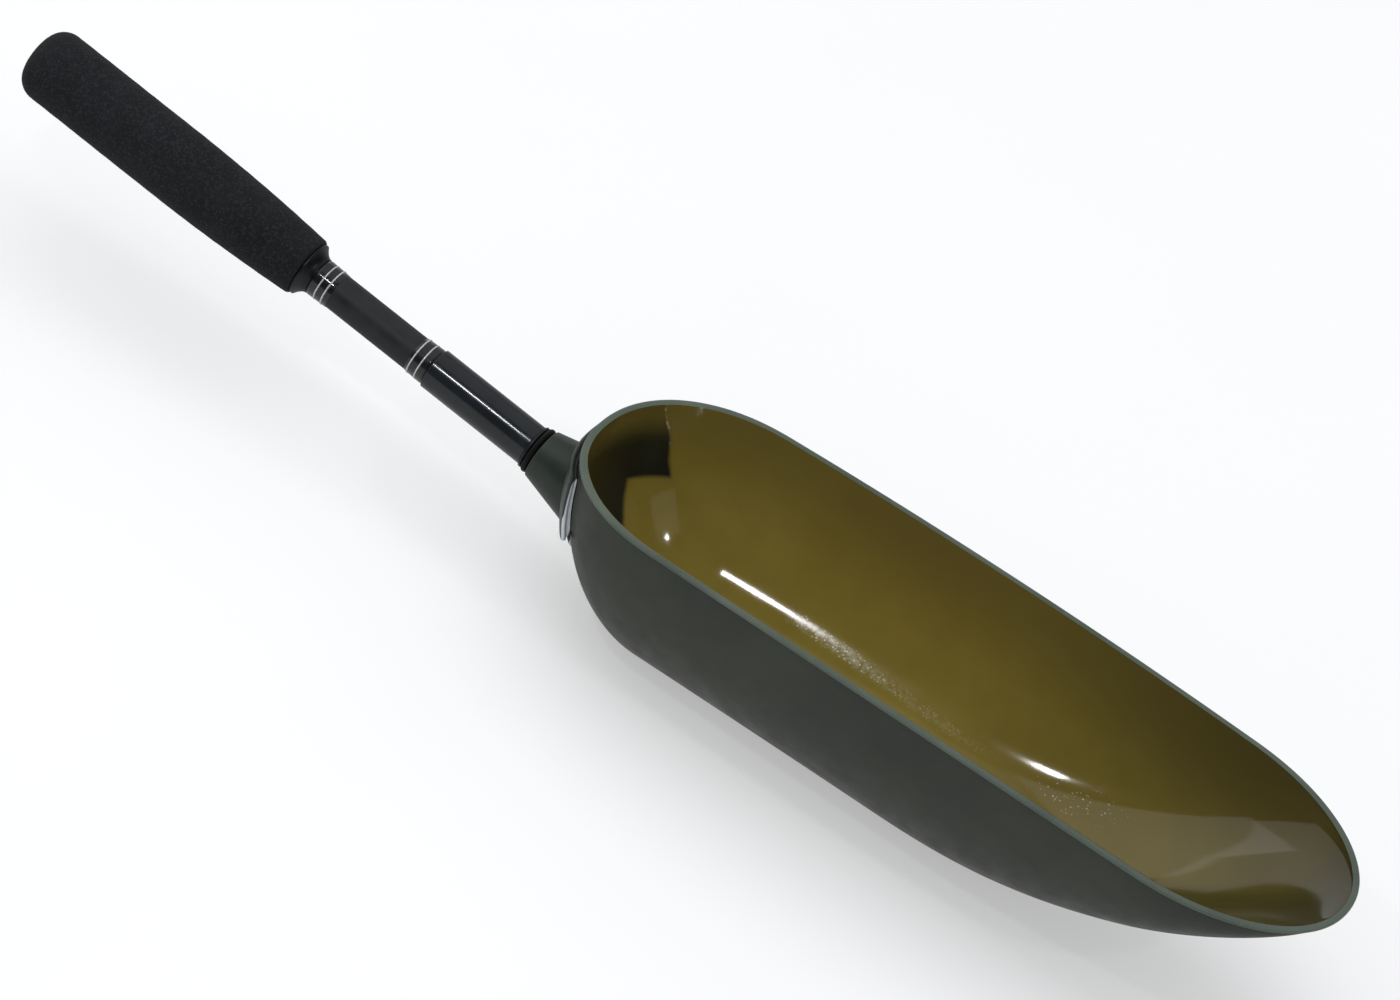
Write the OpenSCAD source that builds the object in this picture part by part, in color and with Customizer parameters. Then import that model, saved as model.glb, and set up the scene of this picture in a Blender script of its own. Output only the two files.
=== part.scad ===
// Long-handled moulded scoop with a screw-off handle.
// Millimetres. +X runs along the bowl to its tip, +Z is up, the part is symmetric about Y = 0.

/* [Part] */
// Sub-part to draw

/* [Bowl] */
// Length over the rim
bowl_length = 320; // [300:5:345]
// Width over the rim at its ends' tangent
bowl_width = 102; // [96:1:108]
// Extra width in the middle of the rim, both sides together
bowl_bulge = 8; // [4:0.5:10]
// Deepest point below the rim's ends
bowl_depth = 68.5; // [60:0.5:72]
// Length of the rounded back end in plan
back_round = 52; // [48:1:60]
// Length of the rounded tip in plan
tip_round = 64.5; // [58:0.5:74]
// Length of the back wall's curve down to the keel
back_drop = 54; // [50:1:60]
// Where the keel starts to climb to the tip
keel_start = 160; // [145:1:175]
// Rise of the rim in the middle
rim_rise = 3; // [1:0.5:5]
// Wall thickness
wall = 1.9; // [1.6:0.1:2.4]
// Outward lip on the rim
bead = 0.7; // [0.5:0.1:1]
// Height of the lip
bead_h = 1.2; // [1:0.1:1.6]

/* [Saddle] */
// Half width of the saddle's wings
saddle_half = 34; // [30:0.5:35]
// Half width of the tongue below them, at its top
tongue_half = 19; // [17:0.5:21]
// Plate thickness
plate_t = 1.7; // [1.4:0.1:2]

/* [Handle] */
// Upward tilt of the handle, degrees
handle_tilt = 6; // [4:0.5:8]
// Outside diameter of the lower tube
tube_d = 16.2; // [15.8:0.1:16.6]
// Outside diameter of the blank
blank_d = 14; // [13.8:0.1:14.2]
// Grip diameter at its rear part
grip_d = 28.5; // [26:0.5:31]
// Distance from the handle's datum to the butt end
handle_reach = 254.5; // [230:0.5:280]
// Diameter of the stud that the handle screws in with
stud_d = 9.525; // [9.4:0.005:9.6]

/* [Hidden] */
$fn = 96;

// exponents of the plan's two ends, of the keel and of the cross-section
back_pow = 2.2;
tip_pow = 2.08;
climb_pow = 2.3;
climb_end = 0.86;
drop_pow = 1.82;
sect_pow = 2.17;

half = bowl_width / 2;
clear = 0.3;      // gap between curved faces
fit = 0.05;       // radial clearance of the bonded and running fits
handle_z = -28.72;

// stations along the handle, from its datum on the back wall
mouth_a = 15.9;
oring_a = 17.45;
oring_r = 1.25;
collar_a = 19;
tube_a = 20;
tube_end = 66.2;
whip_f_end = 74.6;
whip_r_a = 111.6;
check_a = 120.8;
grip_a = 125.9;
barrel_a = 190;
blank_a = 39;
blank_end = 243;
blank_r = blank_d / 2;
bore_r = blank_r - 1;
tube_r = tube_d / 2;
grip_r = grip_d / 2;
butt_round = 8;

n_st = 70;   // stations along the bowl
n_se = 36;   // steps round a section

// plan half width, keel depth and rim height at x, for a surface inset by d
function plan_x(x, d) = min(max((x - d) * bowl_length / (bowl_length - 2 * d), 0), bowl_length);
function plan_w(x) = (1 + bowl_bulge / 2 / half * (1 - pow(2 * x / bowl_length - 1, 2))) * half * (
    x < back_round ? pow(max(1 - pow((back_round - x) / back_round, back_pow), 0), 1 / back_pow) :
    x > bowl_length - tip_round ?
        pow(max(1 - pow((x - bowl_length + tip_round) / tip_round, tip_pow), 0), 1 / tip_pow) : 1);
function keel_k(x) = bowl_depth
    * pow(max(1 - pow(max((x - keel_start) / (bowl_length - keel_start), 0), climb_pow), 0), 1 / climb_end)
    * pow(max(1 - pow(max((back_drop - x) / back_drop, 0), drop_pow), 0), 1 / drop_pow);
function rim_z(x) = rim_rise * (1 - pow(2 * x / bowl_length - 1, 2));
function wide(x, d) = plan_w(plan_x(x, d)) * (1 - d / half);
function deep(x, d, drop, t) = keel_k(plan_x(x, d)) * (1 - (t + drop) / bowl_depth);
function spow(v, p) = sign(v) * pow(abs(v), p);

// station i of a surface inset by d, its top lowered by drop, its keel raised by t
function st_x(i, d) = d + (bowl_length - 2 * d) * (1 - cos(180 * i / n_st)) / 2;
function skin(i, j, d, drop, t) = let (x = st_x(i, d), a = -90 + 180 * j / n_se,
        end = i == 0 || i == n_st)
    [x, end ? 0 : wide(x, d) * spow(sin(a), 2 / sect_pow),
     rim_z(plan_x(x, d)) - drop - (end || j == 0 || j == n_se ? 0
        : deep(x, d, drop, t) * spow(cos(a), 2 / sect_pow))];

// the part's own origin: middle of the footprint, level with the lowest point
keel_low = min([for (i = [0:n_st]) skin(i, n_se / 2, bead, bead_h, 0)[2]]);
butt_x = -((handle_reach - butt_round) * cos(handle_tilt)
    + (grip_r - butt_round) * sin(handle_tilt) + butt_round);
shift = [-(bowl_length + butt_x) / 2, 0, -keel_low];

module place() translate(shift) children();

// puts local +Z along the handle, towards the butt
module along() place() translate([0, 0, handle_z]) rotate([0, handle_tilt - 90, 0]) children();

module band(a0, a1, r_in, r_out) rotate_extrude()
    translate([r_in, a0]) square([r_out - r_in, a1 - a0]);

// ---- bowl ----
// one layer is two end points and the stations between them
per = 2 + (n_st - 1) * (n_se + 1);
function at(i, j) = i == 0 ? 0 : i == n_st ? 1 : 2 + (i - 1) * (n_se + 1) + j;
// the rim as one closed loop of 2 * n_st points
loop_n = 2 * n_st;
function loop_i(k) = k <= n_st ? k : loop_n - k;
function loop_j(k) = k <= n_st ? 0 : n_se;
function real_tri(f) = f[0] != f[1] && f[1] != f[2] && f[2] != f[0];
function ring_pt(k, z) = let (i = loop_i(k % loop_n), p = skin(i, loop_j(k % loop_n), 0, 0, 0))
    [p[0], p[1], p[2] + z];

module bowl_shell() {
    outer = [for (p = [[0, 0], [n_st, 0]]) skin(p[0], p[1], bead, bead_h, 0),
        for (i = [1:n_st - 1]) for (j = [0:n_se]) skin(i, j, bead, bead_h, 0)];
    inner = [for (p = [[0, 0], [n_st, 0]]) skin(p[0], p[1], bead + wall, 0, wall),
        for (i = [1:n_st - 1]) for (j = [0:n_se]) skin(i, j, bead + wall, 0, wall)];
    lip = [for (z = [-bead_h, 0]) for (k = [0:loop_n - 1]) ring_pt(k, z)];
    skins = [for (i = [0:n_st - 1]) for (j = [0:n_se - 1]) for (f = [
            [at(i, j), at(i, j + 1), at(i + 1, j)],
            [at(i + 1, j), at(i, j + 1), at(i + 1, j + 1)],
            [per + at(i, j), per + at(i + 1, j), per + at(i, j + 1)],
            [per + at(i + 1, j), per + at(i + 1, j + 1), per + at(i, j + 1)]])
        if (real_tri(f)) f];
    rows = [for (k = [0:loop_n - 1]) let (c = at(loop_i(k), loop_j(k)))
        [c, 2 * per + k, 2 * per + loop_n + k, per + c]];
    lips = [for (k = [0:loop_n - 1]) for (s = [0:2]) let (p = rows[k], q = rows[(k + 1) % loop_n])
        for (f = [[p[s], q[s], p[s + 1]], [q[s], q[s + 1], p[s + 1]]]) f];
    polyhedron(concat(outer, inner, lip), concat(skins, lips), convexity = 6);
}

module scoop_bowl() color([0.26, 0.27, 0.2]) place() bowl_shell();

// ---- saddle on the back wall ----
// how far a point lies outside the wall's section at x: positive outside
function outside(x, y, z) = let (w = wide(x, bead), k = deep(x, bead, bead_h, 0))
    pow(abs(y) / max(w, 0.01), sect_pow)
    + pow(max(rim_z(plan_x(x, bead)) - bead_h - z, 0) / max(k, 0.01), sect_pow) - 1;
function back_x(y, z, lo = 0.7, hi = 62, n = 22) = n == 0 ? (lo + hi) / 2 :
    let (mid = (lo + hi) / 2) outside(mid, y, z) > 0 ? back_x(y, z, mid, hi, n - 1)
        : back_x(y, z, lo, mid, n - 1);
// the point of the back wall at (y, z), moved d outwards along its normal
function off_wall(y, z, d) = let (e = 0.4, x = back_x(y, z),
        gy = (back_x(y + e, z) - back_x(y - e, z)) / (2 * e),
        gz = (back_x(y, z + e) - back_x(y, z - e)) / (2 * e),
        g = norm([1, gy, gz]))
    [x - d / g, y + d * gy / g, z + d * gz / g];

saddle_top = -4.5;
saddle_low = -43.5;
wing_low = -26.5;
// height along the saddle, 0 at its top and 1 at its bottom
function drop_at(z) = (saddle_top - z) / (saddle_top - saddle_low);
function wing(z) = let (v = min(max((wing_low - z) / 5, 0), 1), s = v * v * (3 - 2 * v),
        t = max((z - saddle_top + 2.5) / 2.5, 0), b = max((saddle_low + 4 - z) / 4, 0),
        wings = saddle_half - 3 * pow(max(1 + z / 16, 0), 2),
        tongue = tongue_half - 5 * max(wing_low - z, 0) / (wing_low - saddle_low))
    wings * (1 - s) + tongue * s - 2.5 * (1 - sqrt(max(1 - t * t, 0)))
    - 5 * (1 - sqrt(max(1 - b * b, 0)));
// inner face of the plate: it stands off the wall a little more towards the bottom
function stand_off(z) = 1.2 + 1.3 * drop_at(z);

// a curved slab between two layers of (rows + 1) x (cols + 1) points
module slab(a, b, rows, cols) {
    c1 = cols + 1;
    m = (rows + 1) * c1;
    faces = [for (r = [0:rows - 1]) for (c = [0:cols - 1]) let (p = r * c1 + c) for (f = [
            [p, p + c1, p + 1], [p + 1, p + c1, p + c1 + 1],
            [m + p, m + p + 1, m + p + c1], [m + p + 1, m + p + c1 + 1, m + p + c1]]) f];
    edge = concat([for (c = [0:cols - 1]) c], [for (r = [0:rows - 1]) r * c1 + cols],
        [for (c = [0:cols - 1]) rows * c1 + cols - c], [for (r = [0:rows - 1]) (rows - r) * c1]);
    sides = [for (k = [0:len(edge) - 1]) let (p = edge[k], q = edge[(k + 1) % len(edge)])
        for (f = [[p, q, m + p], [q, m + q, m + p]]) f];
    polyhedron(concat(a, b), concat(faces, sides), convexity = 4);
}

// layer of the saddle at a stand-off, trimmed in by an inset
function layer(rows, cols, inset, lift) = [for (r = [0:rows]) let (
        z = saddle_top - inset - (saddle_top - saddle_low - 2 * inset) * (1 - cos(180 * r / rows)) / 2)
    for (c = [0:cols]) off_wall((wing(z) - inset) * (2 * c / cols - 1), z,
        lift < 0 ? stand_off(z) + lift : lift)];
function plate_layer(rows, cols, t) = [for (r = [0:rows]) let (
        z = saddle_top - (saddle_top - saddle_low) * (1 - cos(180 * r / rows)) / 2)
    for (c = [0:cols]) off_wall(wing(z) * (2 * c / cols - 1), z, stand_off(z) + t)];

module saddle_pad() color([0.5, 0.52, 0.52]) place()
    slab(layer(26, 26, 0.8, -0.15), layer(26, 26, 0.8, clear), 26, 26);

module saddle_plate() color([0.2, 0.22, 0.205]) place()
    slab(plate_layer(26, 26, plate_t), plate_layer(26, 26, 0), 26, 26);

// everything on the bowl's side of the plate's outer face
module bowl_side() {
    rows = 16;
    cols = 14;
    face = [for (r = [0:rows]) for (c = [0:cols]) let (z = -4 - 46 * r / rows)
        off_wall(-24 + 48 * c / cols, z, stand_off(z) + plate_t + 0.1)];
    slab(face, [for (p = face) [70, p[1], p[2]]], rows, cols);
}

// ---- socket ----
socket_r = 9.8;
module handle_socket() color([0.18, 0.2, 0.185]) difference() {
    along() rotate_extrude() polygon([[0, -21], [18.6, -21], [17.2, -15], [socket_r + 0.15, mouth_a - 0.8],
        [socket_r - 0.65, mouth_a], [0, mouth_a]]);
    place() bowl_side();
    along() translate([0, 0, 2]) cylinder(r = 6.55, h = 20);
    along() translate([0, 0, 14.7]) cylinder(r = 7.2, h = 5);
}

module socket_insert() color([0.72, 0.58, 0.28]) along() {
    band(2.2, 15.6, stud_d / 2 + 0.04, 6.5);
    band(14.8, 15.6, 6.5, 7.1);
}

module o_ring() color([0.1, 0.1, 0.1]) along() translate([0, 0, oring_a])
    rotate_extrude() translate([8.15, 0]) circle(r = oring_r, $fn = 48);

// ---- handle ----
module thread_stud() color([0.7, 0.71, 0.72]) along() {
    translate([0, 0, 5.5]) cylinder(r = stud_d / 2, h = 26.5);
    translate([0, 0, 4.7]) cylinder(r1 = stud_d / 2 - 0.8, r2 = stud_d / 2, h = 0.8);
}

module tube_end_plug() color([0.2, 0.21, 0.22]) along() {
    band(16.5, collar_a, stud_d / 2 + 0.02, 6.8);
    band(collar_a, tube_a, stud_d / 2 + 0.02, 8.75);
    band(tube_a, 38, stud_d / 2 + 0.02, tube_r - 1.05 - fit);
}

module lower_tube() color([0.14, 0.15, 0.16]) along() difference() {
    rotate_extrude() polygon([[0, tube_a + 0.05], [tube_r, tube_a + 0.05], [tube_r, tube_end - 0.4],
        [tube_r - 0.3, tube_end], [0, tube_end]]);
    translate([0, 0, tube_a - 1]) cylinder(r = tube_r - 1.05, h = tube_end);
}

module upper_blank() color([0.18, 0.19, 0.2]) along()
    band(blank_a, blank_end, bore_r, blank_r);

// a thread wrapping under a glossy coat, with two grooves for its trim rings
module whipping(a0, a1, r0, r1, rings) difference() {
    rotate_extrude() polygon([[blank_r + fit, a0], [r0, a0], [r1, a1], [blank_r + fit, a1]]);
    for (a = rings) translate([0, 0, a - 0.3]) difference() {
        cylinder(r = 9, h = 0.6);
        translate([0, 0, -1]) cylinder(r = blank_r + 0.14, h = 3);
    }
}

front_rings = [69.8, 73.3];
rear_rings = [113.9, 117.1];
module whipping_front() color([0.1, 0.1, 0.11]) along()
    whipping(tube_end + 0.2, whip_f_end, blank_r + 0.5, blank_r + 0.25, front_rings);
module whipping_rear() color([0.1, 0.1, 0.11]) along()
    whipping(whip_r_a, check_a - 0.1, blank_r + 0.25, blank_r + 0.5, rear_rings);

module trim_ring(a) color([0.8, 0.81, 0.82]) along() band(a - 0.26, a + 0.26, blank_r + 0.18, blank_r + 0.5);
module trim_ring_1() trim_ring(front_rings[0]);
module trim_ring_2() trim_ring(front_rings[1]);
module trim_ring_3() trim_ring(rear_rings[0]);
module trim_ring_4() trim_ring(rear_rings[1]);

// concave cone in front of the grip
module winding_check() color([0.08, 0.09, 0.1]) along() rotate_extrude() polygon(concat(
    [[blank_r + fit, check_a]],
    [for (s = [0:0.1:1]) [blank_r + 0.5 + 3.3 * pow(s, 1.8), check_a + 4 * s]],
    [[blank_r + 3.8, check_a + 4.8], [blank_r + fit, check_a + 4.8]]));

// grip radius: straight at the back, a slight barrel, then a taper to the front
function grip_at(a) = grip_r - 2.5 * pow(max((barrel_a - a) / (barrel_a - grip_a), 0), 2);
module grip() color([0.14, 0.145, 0.15]) along() difference() {
    rotate_extrude() polygon(concat([[0, grip_a]],
        [for (t = [0:15:90]) [grip_at(grip_a + 1.4) - 1.4 + 1.4 * sin(t), grip_a + 1.4 - 1.4 * cos(t)]],
        [for (a = [grip_a + 4:4:barrel_a - 1]) [grip_at(a), a]], [[grip_r, barrel_a]],
        [for (t = [0:7.5:90]) [grip_r - butt_round + butt_round * cos(t),
            handle_reach - butt_round + butt_round * sin(t)]],
        [[0, handle_reach]]));
    translate([0, 0, grip_a - 1]) cylinder(r = blank_r + fit, h = blank_end + 1.5 - grip_a);
}

module blank_plug() color([0.12, 0.12, 0.12]) along()
    translate([0, 0, blank_end - 12]) cylinder(r = bore_r - fit, h = 12.2);

scoop_bowl();
saddle_pad();
saddle_plate();
handle_socket();
socket_insert();
o_ring();
thread_stud();
tube_end_plug();
lower_tube();
upper_blank();
whipping_front();
whipping_rear();
trim_ring_1();
trim_ring_2();
trim_ring_3();
trim_ring_4();
winding_check();
grip();
blank_plug();
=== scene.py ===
import math

import bpy
from mathutils import Matrix, Vector


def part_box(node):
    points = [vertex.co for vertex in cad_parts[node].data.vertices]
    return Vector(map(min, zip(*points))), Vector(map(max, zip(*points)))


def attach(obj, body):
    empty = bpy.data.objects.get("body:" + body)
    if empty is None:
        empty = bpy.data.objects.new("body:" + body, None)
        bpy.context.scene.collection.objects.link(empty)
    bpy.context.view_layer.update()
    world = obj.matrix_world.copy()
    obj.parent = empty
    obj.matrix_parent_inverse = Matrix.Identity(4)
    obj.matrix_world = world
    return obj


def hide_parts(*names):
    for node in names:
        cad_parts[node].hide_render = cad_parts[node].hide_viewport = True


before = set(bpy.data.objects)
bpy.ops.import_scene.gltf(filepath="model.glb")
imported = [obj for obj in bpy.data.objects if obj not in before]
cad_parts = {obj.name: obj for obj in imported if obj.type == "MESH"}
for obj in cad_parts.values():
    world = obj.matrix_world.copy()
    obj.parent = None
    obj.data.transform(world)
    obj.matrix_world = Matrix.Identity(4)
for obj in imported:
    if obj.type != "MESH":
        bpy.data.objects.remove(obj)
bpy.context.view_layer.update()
scene = bpy.context.scene
scene.view_settings.view_transform = "Standard"

MM = 0.001
# the bowl's own axes start at the back end of its rim; its rim rises 3 mm in the middle
bowl_lo, bowl_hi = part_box("scoop_bowl")
RIM_RISE = 3.0
ORIGIN = Vector((bowl_lo[0], 0.0, bowl_hi[2] - RIM_RISE * MM))


def row(x, y, z):
    """A point of the bowl's own axes, in millimetres, as a point of the row frame."""
    return ORIGIN + Vector((x, y, z)) * MM


# ---------------------------------------------------------------- camera
CAM_POS = Vector((0.56975, -2.05044, 1.54338))
CAM_BACK = Vector((0.21521, -0.79145, 0.57210)).normalized()
CAM_UP = Vector((-0.53778, 0.39295, 0.74591))
LENS, SENSOR, FAR_CLIP = 186.56, 36.0, 50.0
cam_data = bpy.data.cameras.new("camera")
cam = bpy.data.objects.new("camera", cam_data)
scene.collection.objects.link(cam)
cam_data.sensor_width = SENSOR
cam_data.lens = LENS
cam_data.clip_end = FAR_CLIP
right = CAM_UP.cross(CAM_BACK).normalized()
up = CAM_BACK.cross(right)
cam.matrix_world = Matrix.Translation(CAM_POS) @ Matrix((right, up, CAM_BACK)).transposed().to_4x4()
scene.camera = cam

# ---------------------------------------------------------------- shapes of the bowl
LENGTH, HALF, DEPTH = 320.0, 51.0, 68.5
BULGE, BACK_R, TIP_R = 4.0, 52.0, 64.5
BACK_DROP, KEEL_START = 54.0, 160.0
BACK_POW, TIP_POW, CLIMB_POW, CLIMB_END, DROP_POW, SECT_POW = 2.2, 2.08, 2.3, 0.86, 1.82, 2.17
BEAD, BEAD_H, WALL = 0.7, 1.2, 1.9
BACK_SEARCH, HALVINGS, SLOPE_STEP = (0.7, 62.0), 26, 0.4


def plan_x(x, d):
    """Station of the full outline that station x of an outline d smaller stands for."""
    return min(max((x - d) * LENGTH / (LENGTH - 2 * d), 0.0), LENGTH)


def plan_w(x):
    """Half width of the full outline: rounded back, straight middle, pointed tip, all bulged."""
    if x < BACK_R:
        w = max(1 - ((BACK_R - x) / BACK_R) ** BACK_POW, 0.0) ** (1 / BACK_POW)
    elif x > LENGTH - TIP_R:
        w = max(1 - ((x - LENGTH + TIP_R) / TIP_R) ** TIP_POW, 0.0) ** (1 / TIP_POW)
    else:
        w = 1.0
    return HALF * w * (1 + BULGE / HALF * (1 - (2 * x / LENGTH - 1) ** 2))


def keel(x):
    """Depth of the floor under the rim: a drop at the back, level, then the ramp."""
    u = max((x - KEEL_START) / (LENGTH - KEEL_START), 0.0)
    v = max((BACK_DROP - x) / BACK_DROP, 0.0)
    return (DEPTH * max(1 - u ** CLIMB_POW, 0.0) ** (1 / CLIMB_END)
            * max(1 - v ** DROP_POW, 0.0) ** (1 / DROP_POW))


def rim_z(x):
    return RIM_RISE * (1 - (2 * x / LENGTH - 1) ** 2)


def spow(v, p):
    """A power that keeps the sign of its base."""
    return math.copysign(abs(v) ** p, v)


def skin(s, t, d, drop, thick):
    """Point of a bowl surface: s runs from 0 at the back to 1 at the tip, t from -1 to 1 round it."""
    x = d + (LENGTH - 2 * d) * (1 - math.cos(math.pi * s)) / 2
    px = plan_x(x, d)
    w = plan_w(px) * (1 - d / HALF)
    k = keel(px) * (1 - (thick + drop) / DEPTH)
    a = t * math.pi / 2
    return row(x, w * spow(math.sin(a), 2 / SECT_POW),
               rim_z(px) - drop - k * max(math.cos(a), 0.0) ** (2 / SECT_POW))


def outside(x, y, z):
    """Positive outside the bowl's outer surface, negative inside it."""
    px = plan_x(x, BEAD)
    w = plan_w(px) * (1 - BEAD / HALF)
    k = keel(px) * (1 - BEAD_H / DEPTH)
    return ((abs(y) / max(w, 0.01)) ** SECT_POW
            + (max(rim_z(px) - BEAD_H - z, 0.0) / max(k, 0.01)) ** SECT_POW - 1)


def back_x(y, z):
    """Where the outer surface of the back wall is at (y, z), by halving."""
    lo, hi = BACK_SEARCH
    for _ in range(HALVINGS):
        mid = (lo + hi) / 2
        if outside(mid, y, z) > 0:
            lo = mid
        else:
            hi = mid
    return (lo + hi) / 2


def off_wall(y, z, d):
    """Point of the bowl's back wall at (y, z), moved d outwards along its normal, in the bowl's axes."""
    e = SLOPE_STEP
    gy = (back_x(y + e, z) - back_x(y - e, z)) / (2 * e)
    gz = (back_x(y, z + e) - back_x(y, z - e)) / (2 * e)
    g = math.sqrt(1 + gy * gy + gz * gz)
    return Vector((back_x(y, z) - d / g, y + d * gy / g, z + d * gz / g))


# ---------------------------------------------------------------- mesh helpers
def add_mesh(name, verts, faces, mats, face_mats=None, smooth_angle=40.0):
    mesh = bpy.data.meshes.new(name)
    mesh.from_pydata([tuple(v) for v in verts], [], faces)
    mesh.validate()
    mesh.update()
    obj = bpy.data.objects.new(name, mesh)
    scene.collection.objects.link(obj)
    for m in mats:
        mesh.materials.append(m)
    if face_mats:
        for poly, k in zip(mesh.polygons, face_mats):
            poly.material_index = k
    mesh.polygons.foreach_set("use_smooth", [True] * len(mesh.polygons))
    mesh.set_sharp_from_angle(angle=math.radians(smooth_angle))
    return obj


# the handle's axis runs back and up at TILT, from a point under the rim's back end
TILT = math.radians(6.0)
AXIS = Vector((-math.cos(TILT), 0.0, math.sin(TILT)))
SIDE = Vector((0.0, 1.0, 0.0))
OVER = AXIS.cross(SIDE)
DATUM = Vector((0.0, 0.0, -28.72))


def on_axis(a, r=0.0, phi=0.0):
    """Point at station a along the handle, r from its axis, in the bowl's axes."""
    return DATUM + AXIS * a + (SIDE * math.cos(phi) + OVER * math.sin(phi)) * r


LATHE_STEPS = 144


def lathe(name, profile, mat):
    """Turns a closed profile of (station, radius) round the handle's axis."""
    verts, faces = [], []
    n = len(profile)
    for k in range(LATHE_STEPS):
        phi = 2 * math.pi * k / LATHE_STEPS
        for a, r in profile:
            verts.append(row(*on_axis(a, r, phi)))
    for k in range(LATHE_STEPS):
        q = (k + 1) % LATHE_STEPS
        for i in range(n):
            j = (i + 1) % n
            faces.append((k * n + i, q * n + i, q * n + j, k * n + j))
    return add_mesh(name, verts, faces, [mat])


def rounded(a, r, radius, start, stop, steps=6):
    """Points of a rounded corner about (a, r), for a profile."""
    return [(a + radius * math.cos(math.radians(start + (stop - start) * i / steps)),
             r + radius * math.sin(math.radians(start + (stop - start) * i / steps)))
            for i in range(steps + 1)]


def tube_profile(a0, a1, r_in, r_out, edge):
    """A tube with rounded outer ends; a point beside each keeps the long face's shading straight."""
    return ([(a0, r_in)] + rounded(a0 + edge, r_out - edge, edge, 180, 90)
            + [(a0 + edge + 0.1, r_out), (a1 - edge - 0.1, r_out)]
            + rounded(a1 - edge, r_out - edge, edge, 90, 0) + [(a1, r_in)])


# ---------------------------------------------------------------- materials
def lin(r, g, b):
    """An sRGB colour, 0 to 255, as linear values."""
    return tuple((v / 255 / 12.92) if v / 255 <= 0.04045 else ((v / 255 + 0.055) / 1.055) ** 2.4
                 for v in (r, g, b)) + (1.0,)


NOISE_RANGE = (0.3, 0.7)


class Mat:
    """A node material under construction."""

    def __init__(self, name, **sockets):
        self.mat = bpy.data.materials.new(name)
        self.mat.use_nodes = True
        self.nt = self.mat.node_tree
        self.bsdf = self.nt.nodes["Principled BSDF"]
        for key, value in sockets.items():
            self.bsdf.inputs[key.replace("_", " ")].default_value = value
        self.coord = self.nt.nodes.new("ShaderNodeTexCoord").outputs["Object"]

    def node(self, kind, **values):
        n = self.nt.nodes.new(kind)
        for key, value in values.items():
            n.inputs[key].default_value = value
        return n

    def link(self, a, b):
        self.nt.links.new(a, b)

    def math(self, op, a, b=None):
        n = self.nt.nodes.new("ShaderNodeMath")
        n.operation = op
        for i, v in enumerate((a, b)):
            if v is None:
                continue
            if isinstance(v, (int, float)):
                n.inputs[i].default_value = v
            else:
                self.link(v, n.inputs[i])
        return n.outputs[0]

    def times(self, first, *more):
        """The product of all its values."""
        for value in more:
            first = self.math("MULTIPLY", first, value)
        return first

    def voronoi(self, scale):
        n = self.node("ShaderNodeTexVoronoi", Scale=scale)
        self.link(self.coord, n.inputs["Vector"])
        return n.outputs["Distance"], n.outputs["Color"]

    def noise(self, scale, detail=4.0, rough=0.55, stretch=None):
        n = self.node("ShaderNodeTexNoise", Scale=scale, Detail=detail, Roughness=rough)
        src = self.coord
        if stretch:
            m = self.node("ShaderNodeMapping")
            m.inputs["Scale"].default_value = stretch
            self.link(src, m.inputs["Vector"])
            src = m.outputs[0]
        self.link(src, n.inputs["Vector"])
        return n.outputs["Fac"]

    def ramp(self, fac, stops):
        """A colour for each stop of (place, colour)."""
        n = self.nt.nodes.new("ShaderNodeValToRGB")
        els = n.color_ramp.elements
        while len(els) < len(stops):
            els.new(0.5)
        for e, (pos, col) in zip(els, stops):
            e.position = pos
            e.color = col
        self.link(fac, n.inputs[0])
        return n.outputs[0]

    def span(self, value, lo, hi, out_lo=0.0, out_hi=1.0, smooth=True):
        """Takes lo to out_lo and hi to out_hi, and holds the ends."""
        n = self.nt.nodes.new("ShaderNodeMapRange")
        n.interpolation_type = "SMOOTHSTEP" if smooth else "LINEAR"
        for i, v in zip((1, 2, 3, 4), (lo, hi, out_lo, out_hi)):
            n.inputs[i].default_value = v
        self.link(value, n.inputs[0])
        return n.outputs[0]

    def along(self, x, start, stop, *out):
        """A fade between two stations, in millimetres from the bowl's back end."""
        return self.span(x, ORIGIN.x + start * MM, ORIGIN.x + stop * MM, *out)

    def level(self, z, start, stop, *out):
        """A fade between two heights, in millimetres over the rim's ends."""
        return self.span(z, ORIGIN.z + start * MM, ORIGIN.z + stop * MM, *out)

    def mix(self, fac, a, b):
        n = self.nt.nodes.new("ShaderNodeMix")
        n.data_type = "RGBA"
        self.link(fac, n.inputs[0])
        for i, v in ((6, a), (7, b)):
            if isinstance(v, tuple):
                n.inputs[i].default_value = v
            else:
                self.link(v, n.inputs[i])
        return n.outputs[2]

    def colour(self, out):
        self.link(out, self.bsdf.inputs["Base Color"])

    def rough(self, fac, lo, hi):
        self.link(self.span(fac, *NOISE_RANGE, lo, hi, False), self.bsdf.inputs["Roughness"])

    def bump(self, *layers):
        """Each layer is (height output, strength, distance in metres)."""
        last = None
        for height, strength, dist in layers:
            n = self.node("ShaderNodeBump", Strength=strength, Distance=dist)
            self.link(height, n.inputs["Height"])
            if last:
                self.link(last, n.inputs["Normal"])
            last = n.outputs[0]
        self.link(last, self.bsdf.inputs["Normal"])


def xyz(m):
    """The three object coordinates; the script's meshes are made in the frame's own axes."""
    n = m.nt.nodes.new("ShaderNodeSeparateXYZ")
    m.link(m.coord, n.inputs[0])
    return n.outputs


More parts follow.
